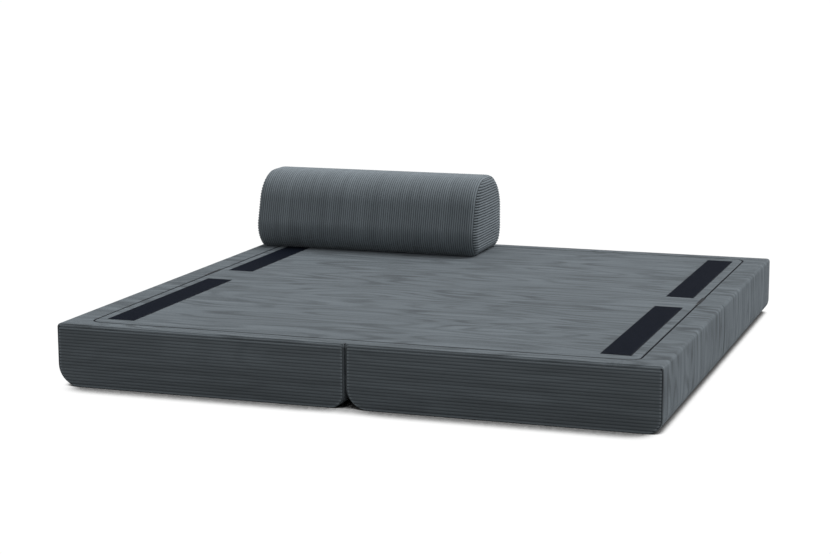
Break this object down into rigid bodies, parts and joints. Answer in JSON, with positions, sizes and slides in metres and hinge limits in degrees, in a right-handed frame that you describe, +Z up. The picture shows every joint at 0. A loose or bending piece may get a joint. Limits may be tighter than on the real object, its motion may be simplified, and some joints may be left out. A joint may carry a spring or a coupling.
{
  "type": "folding futon sofa bed",
  "caption": "Low foam sofa bed of hinged corduroy-covered blocks that fold over face to face, with a loose D-shaped bolster.",
  "frame": {"origin": "middle of the underside, on the floor", "axes": "+X to the right along the width of the open bed, +Y to the back where the bolster lies, +Z up"},
  "size_m": [2, 1.96, 0.5058],
  "materials": {
    "corduroy": "wide-wale slate grey corduroy, soft nap",
    "grip_strip": "dark navy hook-and-loop pile, matte",
    "foam": "open-cell polyurethane foam",
    "liner_knit": "thin white knit",
    "base_cloth": "black dotted non-slip cloth",
    "fold_tape": "woven twill tape",
    "zip_tape": "moulded coil on woven tape",
    "slider_metal": "dark satin enamel on zinc"
  },
  "bodies": {
    "left_block": {"left_foam_core": "foam", "left_core_liner": "liner_knit", "left_cover_band": "corduroy", "left_front_cap": "corduroy", "left_back_cap": "corduroy", "left_base_panel": "base_cloth", "left_top_panel": "corduroy", "left_hinge_tape": "fold_tape", "left_zip_chain": "zip_tape", "left_zip_garage": "zip_tape", "left_front_strip": "grip_strip", "left_back_strip": "grip_strip"},
    "right_block": {"right_foam_core": "foam", "right_core_liner": "liner_knit", "right_cover_band": "corduroy", "right_front_cap": "corduroy", "right_back_cap": "corduroy", "right_seat_panel": "corduroy", "right_top_panel": "corduroy", "right_hinge_tape": "fold_tape", "right_zip_chain": "zip_tape", "right_zip_garage": "zip_tape", "right_front_strip": "grip_strip", "right_back_strip": "grip_strip"},
    "bolster": {"bolster_foam_core": "foam", "bolster_core_liner": "liner_knit", "bolster_sleeve": "corduroy", "bolster_left_cap": "corduroy", "bolster_right_cap": "corduroy", "bolster_zip_chain": "zip_tape"},
    "left_zip_slider": {"left_slider_body": "slider_metal", "left_slider_pull": "slider_metal"},
    "right_zip_slider": {"right_slider_body": "slider_metal", "right_slider_pull": "slider_metal"},
    "bolster_zip_slider": {"bolster_slider_body": "slider_metal", "bolster_slider_pull": "slider_metal"}
  },
  "joints": [
    {"name": "block_fold", "type": "hinge", "parent": "left_block", "child": "right_block", "pos_m": [0, 0, 0.2098], "axis": [0, -1, 0], "range_deg": [0, 180]},
    {"name": "bolster_roll", "type": "hinge", "parent": "left_block", "child": "bolster", "pos_m": [-0.534, 0.99, -0.012], "axis": [-1, 0, 0], "range_deg": [0, 90]},
    {"name": "left_zip", "type": "slide", "parent": "left_block", "child": "left_zip_slider", "axis": [0, -1, 0], "range_m": [0, 0.84]},
    {"name": "right_zip", "type": "slide", "parent": "right_block", "child": "right_zip_slider", "axis": [0, -1, 0], "range_m": [0, 0.84]},
    {"name": "bolster_zip", "type": "slide", "parent": "bolster", "child": "bolster_zip_slider", "axis": [-1, 0, 0], "range_m": [0, 0.65]}
  ],
  "couplings": [
    {"joint": "bolster_roll", "follows": "block_fold", "ratio": 0.5}
  ]
}
